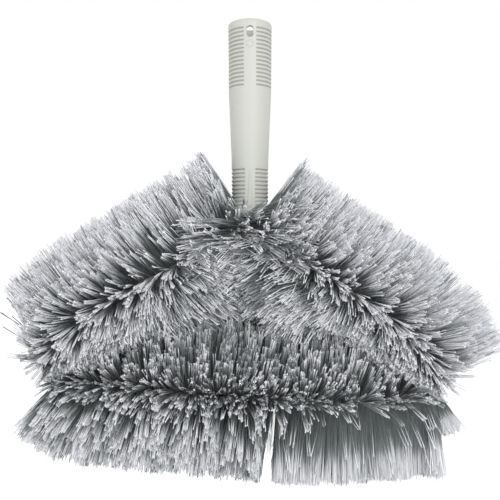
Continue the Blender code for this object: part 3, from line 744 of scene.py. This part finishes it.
def build_wires(route, steel):
    count = round(route.length / TWIST_PITCH * WIRE_POINTS_PER_TURN)
    along = np.linspace(0.0, route.length, count)
    place, _, outward = route.at(along)
    angle = (2 * math.pi * along / TWIST_PITCH)[:, None]
    to_wire = outward * np.cos(angle) + np.array([0.0, 1.0, 0.0]) * np.sin(angle)
    for side, node in ((1, "stem_wire_a"), (-1, "stem_wire_b")):
        curve = bpy.data.curves.new(node, "CURVE")
        curve.dimensions = "3D"
        curve.bevel_depth = WIRE_RADIUS
        curve.bevel_resolution = WIRE_ROUNDNESS
        curve.use_fill_caps = True
        spline = curve.splines.new("POLY")
        spline.points.add(count - 1)
        points = np.ones((count, 4))
        points[:, :3] = place + to_wire * HELIX_RADIUS * side
        spline.points.foreach_set("co", points.ravel())
        mesh = applied(linked(node + "_tube", curve))
        mesh.shade_smooth()
        dress(node.replace("stem", "round"), mesh, steel, "stem_steel", node)


# Filaments
def filament_template(split_end):
    """A three-sided filament, crushed at its tip or split in three: x and y across, z from root to tip."""
    bm = bmesh.new()
    map_layer = bm.loops.layers.uv.new("OFBake")
    bmesh.ops.create_circle(bm, cap_ends=True, segments=3, radius=ROOT_RADIUS)
    face = next(iter(bm.faces))
    rings = [(MIDDLE_SHARE, MIDDLE_RADIUS), (SPLIT_START_SHARE if split_end else 1.0, FLAG_RADIUS)]
    for share, radius in rings + [(1.0, FLAG_RADIUS)] * split_end:
        grown = bmesh.ops.extrude_face_region(bm, geom=[face, *face.edges, *face.verts])["geom"]
        for vert in (item for item in grown if isinstance(item, bmesh.types.BMVert)):
            flat = Vector((vert.co.x, vert.co.y, 0)).normalized() * radius
            vert.co = (flat.x, flat.y, share)
        face = next(item for item in grown if isinstance(item, bmesh.types.BMFace))
    if split_end:
        bmesh.ops.subdivide_edges(bm, edges=list(face.edges), cuts=1)
        drops = iter(SPLIT_DROP_SHARES)
        for vert in [vert for vert in bm.verts if vert.co.z == 1.0]:
            flat = Vector((vert.co.x, vert.co.y, 0))
            is_point = flat.length > SPLIT_POINT_FROM_SHARE * FLAG_RADIUS
            flat *= (SPLIT_POINT_RADIUS if is_point else SPLIT_WAIST_RADIUS) / flat.length
            vert.co = (flat.x, flat.y, 1.0 - (next(drops) if is_point else SPLIT_WAIST_DROP_SHARE))
        bmesh.ops.triangulate(bm, faces=bm.faces)
    for face in bm.faces:
        for loop in face.loops:
            turn = math.atan2(loop.vert.co.y, loop.vert.co.x) / (2 * math.pi) % 1.0
            loop[map_layer].uv = (turn, loop.vert.co.z)
    bmesh.ops.recalc_face_normals(bm, faces=bm.faces)
    return mesh_of("filament", bm)


def wander(along, waves, seed):
    """A smooth wandering value along the stem."""
    rng = np.random.default_rng(seed)
    total = np.zeros_like(along)
    for wave in waves:
        total += np.sin(2 * np.pi * (along / (wave * MM) + rng.random()))
    return total / len(waves)


def meeting_lines(route):
    """Where the filaments of two runs of the loop press against each other, in the XZ plane."""
    top, middle = route.on_loop(SEAM_TOP_SHARES), route.on_loop(SEAM_END_SHARES)
    half = MEETING_WIDTH_SHARE * LOOP_WIDTH / 2
    left, right = Vector((-half, 0, middle.z)), Vector((half, 0, middle.z))
    ends = [(top, middle), (left, right)]
    ends += [(route.bends[LEFT_CORNER][2], left), (route.bends[RIGHT_CORNER][2], right)]
    return [np.array([(point.x, point.z) for point in pair]) for pair in ends]


def free_distance(root, way, lines):
    """How far each ray in the XZ plane runs before it meets one of the lines."""
    free = np.full(len(root), FAR)
    for start, finish in lines:
        run = finish - start
        cross = way[:, 0] * run[1] - way[:, 1] * run[0]
        cross = np.where(np.abs(cross) < TINY, TINY, cross)
        gap = start - root
        distance = (gap[:, 0] * run[1] - gap[:, 1] * run[0]) / cross
        share = (gap[:, 0] * way[:, 1] - gap[:, 1] * way[:, 0]) / cross
        hit = (distance > 0) & (share > -MEETING_END_MARGIN) & (share < 1.0 + MEETING_END_MARGIN)
        free = np.where(hit, np.minimum(free, distance), free)
    return free


def leaving_angles(route, along, in_corner, rng):
    """Angle of each filament round the stem, from outward towards the front."""
    count = len(along)
    angle = 2 * np.pi * along / TWIST_PITCH + np.pi * rng.integers(0, 2, count)
    angle = (angle + rng.normal(0.0, TWIST_SCATTER, count) + np.pi) % (2 * np.pi) - np.pi
    if in_corner:
        return np.sign(angle) * (CORNER_LEAST_ANGLE + np.abs(angle) * (1.0 - CORNER_LEAST_ANGLE / np.pi))
    place = route.count_along(along)
    by_right_corner = (place > RIGHT_BEND_FROM) & (place < RIGHT_FAN_TO)
    drawn_together = angle * RIGHT_BEND_SPREAD_SHARE
    from_corner = np.abs(along[:, None] - [route.mark_at(1.0), route.mark_at(2.0)]).min(axis=1)
    angle = angle + CORNER_INWARD_TURN * np.exp(-from_corner / CORNER_TURN_FELT) * np.sin(angle)
    flattened = read_table(FLATTENED_SHARES, place)
    limit = np.radians(FLAT_LIMIT_DEGREES + FLAT_LIMIT_GAIN_DEGREES * flattened)
    fade = np.radians(FLAT_FADE_DEGREES - FLAT_FADE_LOSS_DEGREES * flattened)
    near = smoothstep((limit - angle) / fade) * (angle > 0)
    angle = angle * (1.0 - flattened * near)
    laid_over = read_table(LAID_OVER_SHARES, place)
    in_front = smoothstep((angle - LAID_OVER_FROM) / LAID_OVER_FADE)
    angle = angle + (LAID_OVER_ANGLE - angle) * laid_over * in_front
    return np.where(by_right_corner, drawn_together, angle)


def combed_lean(route, along, angle, rng):
    """How far each filament leans along the stem."""
    place = route.count_along(along)
    cosine, sine = np.cos(angle), np.sin(angle)
    inner_side = soft_step(-cosine, BY_SIDE)
    in_front = COMBED_BEHIND_SHARE + COMBED_GAIN_IN_FRONT * soft_step(sine, COMBED_IN_FRONT)
    inward = inner_side * read_table(INWARD_LEAN_SHARES, place) * in_front
    outward = soft_step(cosine, BY_SIDE) * read_table(OUTWARD_LEAN_SHARES, place)
    upward = np.maximum(0.0, sine) ** 4 * read_table(NECK_LEAN_SHARES, place)
    lean = inward + outward + upward
    lean += soft_step(cosine, MOSTLY) * read_table(NECK_SWEEP_SHARES, place)
    waves = LEAN_WAVE_SHARE * wander(along, LEAN_WAVES, LEAN_WAVE_SEED)
    slanted = along + angle * WAVE_SLANT * MM
    lean += waves + LEAN_WAVE_SHARE * wander(slanted, SLANTED_LEAN_WAVES, SLANTED_WAVE_SEED)
    by_neck, in_arms = read_table(BY_NECK, place), read_table(IN_ARMS, place)
    scatter = LEAN_SCATTER * (1.0 - LEAN_SCATTER_LOST_BY_NECK * by_neck)
    scatter += NECK_LEAN_SCATTER * by_neck * sine**4
    scatter += INWARD_LEAN_SCATTER * in_arms * (1.0 - by_neck) * inner_side
    for spot, away, felt in PARTINGS:
        past = (along - route.mark_at(spot)) / felt
        hold = np.exp(-np.abs(past)) * soft_step(cosine, BY_PARTING)
        lean += np.sign(past) * hold * away
        scatter = scatter * (1.0 - LEAN_SCATTER_LOST_BY_PARTING * hold)
    return lean + np.clip(rng.normal(0.0, 1.0, len(along)), -MOST_SCATTERS, MOST_SCATTERS) * scatter


def reach_along(route, along, reach, in_corner):
    if in_corner:
        return np.full(len(along), CORNER_BEND_REACH)
    past_corner = along - route.mark_at(1.0)
    flared = LEFT_CORNER_REACH + LEFT_CORNER_FLARE_SHARE * past_corner
    reach = np.where(past_corner > 0, np.minimum(reach, flared), reach)
    in_fan = (route.count_along(along) > RIGHT_FAN_FROM) & (route.count_along(along) < RIGHT_FAN_TO)
    return np.where(in_fan, RIGHT_FAN_REACH, reach)


def nearest_centre(spots, centres):
    """Which of the first few filaments each one is nearest to."""
    tree = KDTree(centres)
    for index in range(centres):
        tree.insert(spots[index], index)
    tree.balance()
    return np.array([tree.find(spot)[1] for spot in spots])


def pale_reach(route, along, angle, tip, bunch, tuft, rng):
    """How far towards its pale tip each filament's colouring runs: 1, or less in a dark tuft."""
    place = route.count_along(along)
    cosine, sine = np.cos(angle), np.sin(angle)
    outer, inner = read_table(OUTER_DARK_SHARES, place), read_table(INNER_DARK_SHARES, place)
    dark = outer + (inner - outer) * soft_step(-cosine, BY_SIDE)
    dark = np.maximum(dark, soft_step(sine, MOSTLY) * read_table(NECK_FRONT_DARK_SHARES, place))
    off_line = (angle - LINE_ANGLE) / LINE_HALF_ANGLE
    dark = np.maximum(dark, np.exp(-(off_line**2)) * read_table(LINE_DARK_SHARES, place))
    for across, down, size in DARK_TIP_PATCHES:
        spot = route.on_loop((across, down))
        away = np.hypot(tip[:, 0] - spot.x, tip[:, 2] - spot.z) / size
        dark = np.maximum(dark, np.exp(-(away**PATCH_STEEPNESS)) * (tip[:, 1] < 0))
    # Tufts chosen to keep dark tips
    dark_tipped = rng.random(len(along))[tuft] < dark
    # The outer pale reach holds painted light on the right arm, which turns paler where brighter light falls
    pale = 1.0 + (read_table(OUTER_PALE_SHARES, place) - 1.0) * np.maximum(0.0, cosine)
    pale += (INNER_PALE_SHARE - 1.0) * np.maximum(0.0, -cosine)
    pale += (read_table(FRONT_PALE_SHARES, place) - 1.0) * np.maximum(0.0, sine)
    pale += rng.uniform(-0.5, 0.5, len(along))[bunch] * BUNCH_PALE_SCATTER
    return np.where(dark_tipped, rng.uniform(*DARK_TIP_REACH_SHARES, len(along)), pale)


def cut_lengths(length, place, along, cosine, rng):
    """Uneven lengths: slow waves, a little scatter, and ends that fall short, most on the outer side."""
    count = len(along)
    waves = LENGTH_SCATTER * wander(along, LENGTH_WAVES, LENGTH_WAVE_SEED)
    length = length * (1.0 + waves + rng.normal(0.0, LENGTH_SCATTER, count))
    outer_side = np.maximum(0.0, cosine)
    short_of = rng.random(count)
    plain = SHORT_SHARE * short_of**SHORT_POWER * (1.0 - outer_side)
    ragged = read_table(RAGGED_SHARES, place) * short_of**RAGGED_POWER * outer_side
    return length * (LONGEST_SHARE - plain - ragged)


def laid_out(root, way, length, place, sine, lines, rng):
    """Middles and tips of filaments, which turn flat where they meet those of another run."""
    flat = way[:, [0, 2]]
    flat_share = np.maximum(np.linalg.norm(flat, axis=1), TINY)
    flat_way = flat / flat_share[:, None]
    further = smoothstep((place - RIGHT_OVERLAP_FROM) / RIGHT_OVERLAP_RISE)
    further = further * rng.uniform(*RIGHT_OVERLAPS, len(root))
    overlap = rng.uniform(*OVERLAPS, len(root)) + soft_step(-sine, BEHIND) + further
    allowed = free_distance(root[:, [0, 2]], flat_way, lines) * overlap
    pressed = length * flat_share > allowed
    flat_reach = np.where(pressed, allowed, length * flat_share)
    depth = np.sqrt(np.maximum(length**2 - flat_reach**2, 0.0))
    depth *= np.where(pressed, read_table(PRESSED_DEPTH_SHARES, place), 1.0)
    side = np.where(way[:, 1] > 0, 1.0, -1.0)
    tip, middle = root.copy(), root.copy()
    tip[:, [0, 2]] += flat_way * flat_reach[:, None]
    tip[:, 1] += side * depth
    half_way = np.minimum(length * flat_share * MIDDLE_SHARE, flat_reach * PRESSED_MIDDLE_SHARE)
    middle[:, [0, 2]] += flat_way * half_way[:, None]
    middle[:, 1] += side * depth * np.where(pressed, PRESSED_MIDDLE_DEPTH_SHARE, MIDDLE_DEPTH_SHARE)
    return middle, tip, pressed


def filament_routes(route, along, reach, in_corner, lines, rng):
    """Root, middle, tip, pale reach and chance of a split end of filaments, by distance along the stem."""
    count = len(along)
    place = route.count_along(along)
    root, travel, outward = route.at(along)
    angle = leaving_angles(route, along, in_corner, rng)
    cosine, sine = np.cos(angle), np.sin(angle)
    forward = np.array([0.0, -1.0, 0.0])
    way = outward * cosine[:, None] + forward * sine[:, None]
    stray = (rng.random(count) < STRAY_SHARE) & (cosine > STRAY_LEAST_COSINE)
    stray &= (place > STRAYS_FROM) & (place < 1.0)
    lean = np.where(stray, rng.uniform(*STRAY_LEANS, count), combed_lean(route, along, angle, rng))
    way = way + travel * lean[:, None]
    way /= np.linalg.norm(way, axis=1)[:, None]
    length = reach_along(route, along, reach, in_corner)
    if not in_corner:
        length *= 1.0 + (INWARD_REACH_SHARE - 1.0) * np.maximum(0.0, -cosine)
    length = cut_lengths(length, place, along, cosine, rng)
    length = np.where(stray, length * STRAY_REACH_SHARE, length)
    middle, tip, pressed = laid_out(root, way, length, place, sine, lines, rng)

    around = (length * cosine * CLUMP_SPREAD_SHARE, length * sine * CLUMP_SPREAD_SHARE)
    spots = np.column_stack([along, *around])
    held = 1.0 - LOOSER_SHARE * smoothstep((cosine - LOOSER_FROM) / LOOSER_RISE)
    straight = tip.copy()
    tufts = []
    for size, least, most, most_pressed in CLUMPS:
        tuft = nearest_centre(spots, max(1, count // size))
        tufts.append(tuft)
        pull = rng.uniform(least, np.where(pressed, most_pressed, most)) * held
        tip += (tip[tuft] - tip) * pull[:, None]
    tip += rng.normal(0.0, TIP_SCATTER, (count, 3))
    middle += (tip - straight) * MIDDLE_FOLLOWS_SHARE
    tip[:, 2] -= TIP_SAG * np.abs(way[:, 1])
    middle += rng.normal(0.0, MIDDLE_SCATTER, (count, 3))
    _, bunch, tuft = tufts
    pale = pale_reach(route, along, angle, tip, bunch, tuft, rng)
    pale = np.where(stray, DARK_TIP_REACH_SHARES[0], pale)
    split_share = SIDE_SPLIT_SHARE + (FRONT_SPLIT_SHARE - SIDE_SPLIT_SHARE) * soft_step(sine, MOSTLY)
    return root, clear_of_handle(route, middle), clear_of_handle(route, tip), pale, split_share


def clear_of_handle(route, points):
    """Pushes points out of the handle and of the air just round it."""
    clear = END_TOP_RADIUS + HANDLE_CLEARANCE
    off_axis = np.hypot(points[:, 0], points[:, 1])
    inside = (points[:, 2] > route.end - CLEAR_BELOW_HANDLE) & (off_axis < clear)
    push = np.where(inside, clear / np.maximum(off_axis, TINY), 1.0)
    points = points.copy()
    points[:, :2] *= push[:, None]
    return points


def filaments_mesh(name, template, root, middle, tip, pale, rng):
    """Copies the template once for each filament and lays each copy along its own route."""
    count = len(root)
    seed = linked(name, template)
    copies = seed.modifiers.new("copies", "ARRAY")
    copies.count = count
    copies.use_relative_offset = False
    copies.use_constant_offset = True
    copies.constant_offset_displace = (0, 0, 0)
    mesh = applied(seed)

    shape = np.empty(len(template.vertices) * 3)
    template.vertices.foreach_get("co", shape)
    shape = shape.reshape(1, -1, 3)
    share = shape[..., 2:3]
    width = rng.uniform(*WIDTH_SHARES, count)[:, None, None]
    run = tip - root
    run /= np.linalg.norm(run, axis=1)[:, None]
    helper = rng.normal(size=(count, 3))
    first = np.cross(run, helper)
    first /= np.linalg.norm(first, axis=1)[:, None]
    second = np.cross(run, first)
    r, m, t = root[:, None, :], middle[:, None, :], tip[:, None, :]
    places = r * (1 - share) ** 2 + m * 2 * share * (1 - share) + t * share**2
    across = first[:, None, :] * shape[..., 0:1] + second[:, None, :] * shape[..., 1:2]
    mesh.vertices.foreach_set("co", (places + across * width).ravel())

    loops = len(template.loops)
    filament_map = mesh.uv_layers["OFBake"]
    values = np.empty(len(mesh.loops) * 2)
    filament_map.uv.foreach_get("vector", values)
    values = values.reshape(count, loops, 2)
    values[..., 0] = (values[..., 0] + rng.integers(0, SHADE_COLUMNS, count)[:, None]) / SHADE_COLUMNS
    values[..., 1] *= pale[:, None]
    filament_map.uv.foreach_set("vector", values.ravel())
    mesh.update()
    return mesh


def build_filaments(route, material):
    templates = {"filaments": filament_template(False), "split_ends": filament_template(True)}
    lines = meeting_lines(route)
    (left_in, left_out, _), (right_in, right_out, _) = route.bends[LEFT_CORNER], route.bends[RIGHT_CORNER]
    left_split = route.nearest(route.on_loop((-MEETING_WIDTH_SHARE / 2, SEAM_END_SHARES[1])))
    right_split = route.nearest(route.on_loop((MEETING_WIDTH_SHARE / 2, SEAM_END_SHARES[1])))
    parting = route.mark_at(BASE_PARTING[0])
    first, last = route.mark_at(0.0), route.mark_at(3.0)
    runs = [
        ("left_arm_upper", "left_arm_upper_bristles", first, left_split, ARM_REACH),
        ("left_arm_lower", "left_arm_lower_bristles", left_split, left_in, ARM_REACH),
        ("left_corner", "left_corner_bristles", left_in, left_out, None),
        ("base_left", "base_left_bristles", left_out, parting, BASE_REACH),
        ("base_right", "base_right_bristles", parting, route.mark_at(RIGHT_FAN_TO), BASE_REACH),
        ("right_corner", "right_corner_bristles", right_in, right_out, None),
        ("right_arm_lower", "right_arm_lower_bristles", right_out, right_split, ARM_REACH),
        ("right_arm_upper", "right_arm_upper_bristles", right_split, last, ARM_REACH),
    ]
    rng = np.random.default_rng(FILAMENT_SEED)
    for name, node, start, finish, reach in runs:
        in_corner = reach is None
        per_mm = CORNER_FILAMENTS_PER_MM if in_corner else FILAMENTS_PER_MM
        parts = math.ceil((finish - start) / MM * per_mm / MOST_FILAMENTS_IN_A_PIECE)
        cuts = np.linspace(start, finish, parts + 1)
        for part, (begin, end) in enumerate(zip(cuts, cuts[1:]), 1):
            count = round((end - begin) / MM * per_mm)
            along = begin + (end - begin) * rng.permutation((np.arange(count) + rng.random(count)) / count)
            *made, split_share = filament_routes(route, along, reach, in_corner, lines, rng)
            is_split = rng.random(count) < split_share
            for kind, chosen in (("filaments", ~is_split), ("split_ends", is_split)):
                label = f"{name}_{kind}_{part}"
                routes = (values[chosen] for values in made)
                mesh = filaments_mesh(label, templates[kind], *routes, rng)
                dress(label, mesh, material, "filaments", node)
    for template in templates.values():
        bpy.data.meshes.remove(template)


# Stage
def build_stage():
    scene = bpy.context.scene
    scene.view_settings.view_transform = "Standard"
    camera = linked("camera", bpy.data.cameras.new("camera"))
    camera.location = (0, -CAMERA_DISTANCE, CAMERA_HEIGHT)
    camera.rotation_euler = (math.pi / 2, 0, 0)
    camera.data.sensor_width = SENSOR_WIDTH
    camera.data.lens = SENSOR_WIDTH * CAMERA_DISTANCE / (MM_PER_PIXEL * PICTURE_PIXELS)
    scene.camera = camera

    bm = bmesh.new()
    bmesh.ops.create_grid(bm, x_segments=1, y_segments=1, size=FLOOR_SIZE / 2)
    bmesh.ops.translate(bm, verts=bm.verts, vec=(0, 0, cad_box[0][2] - FLOOR_DROP))
    floor = linked("floor", mesh_of("floor", bm))
    paper, tree, shader = new_material("white_floor")
    shader.inputs["Base Color"].default_value = (FLOOR_GREY, FLOOR_GREY, FLOOR_GREY, 1.0)
    shader.inputs["Roughness"].default_value = FLOOR_ROUGHNESS
    shader.inputs["Emission Color"].default_value = (1, 1, 1, 1)
    put(tree, shader.inputs["Emission Strength"], seen_by_camera(tree, 0.0, FLOOR_GLOW))
    floor.data.materials.append(paper)

    world = bpy.data.worlds.new("white_surround")
    scene.world = world
    world.use_nodes = True
    tree = world.node_tree
    background = tree.nodes["Background"]
    background.inputs["Color"].default_value = (1, 1, 1, 1)
    put(tree, background.inputs["Strength"], seen_by_camera(tree, SURROUND_LIGHT, 1.0))

    lamp("key_softbox", KEY_PLACE, KEY_POWER)
    lamp("fill_softbox", FILL_PLACE, FILL_POWER)


def seen_by_camera(tree, plain, seen):
    """A strength that changes where the camera, a gloss or a clear material sees the surface."""
    rays = tree.nodes.new("ShaderNodeLightPath").outputs
    share = rays["Is Camera Ray"]
    for ray in ("Is Glossy Ray", "Is Transmission Ray"):
        share = maths(tree, "MAXIMUM", share, rays[ray])
    return maths(tree, "MULTIPLY_ADD", share, seen - plain, plain)


def lamp(name, place, power):
    light = bpy.data.lights.new(name, "AREA")
    light.size = LAMP_SIZE
    light.energy = power
    obj = linked(name, light)
    aim = Vector((0, 0, CAMERA_HEIGHT)) - Vector(place)
    obj.location = place
    obj.rotation_euler = aim.to_track_quat("-Z", "Y").to_euler()


def main():
    build_stage()
    grain = surface_grain()
    # The handle's plastic gets painted shade in its grooves
    plastic = painted_groove_shade(grained_material("ivory_plastic", grain, *IVORY_PLASTIC))
    grey = grained_material("grey_plastic", grain, *GREY_PLASTIC)
    steel = grained_material("galvanised_steel", grain, *GALVANISED_STEEL)
    crimp = grained_material("pressed_aluminium", grain, *PRESSED_ALUMINIUM)
    for node, finish in (("wire_anchor_plug", grey), ("crimp_sleeve", crimp)):
        piece = bpy.data.objects[node]
        piece.data.materials.clear()
        piece.data.materials.append(finish)
    build_handle(plastic)
    route = StemRoute(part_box("handle_shell")[0][2])
    build_wires(route, steel)
    build_filaments(route, filament_material())


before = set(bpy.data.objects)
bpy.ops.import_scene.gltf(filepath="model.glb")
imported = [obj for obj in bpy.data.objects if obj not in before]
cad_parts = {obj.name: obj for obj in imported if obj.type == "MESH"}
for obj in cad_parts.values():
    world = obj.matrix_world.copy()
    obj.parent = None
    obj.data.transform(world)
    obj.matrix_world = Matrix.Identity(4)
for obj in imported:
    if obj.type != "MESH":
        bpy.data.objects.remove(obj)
cad_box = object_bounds()
main()
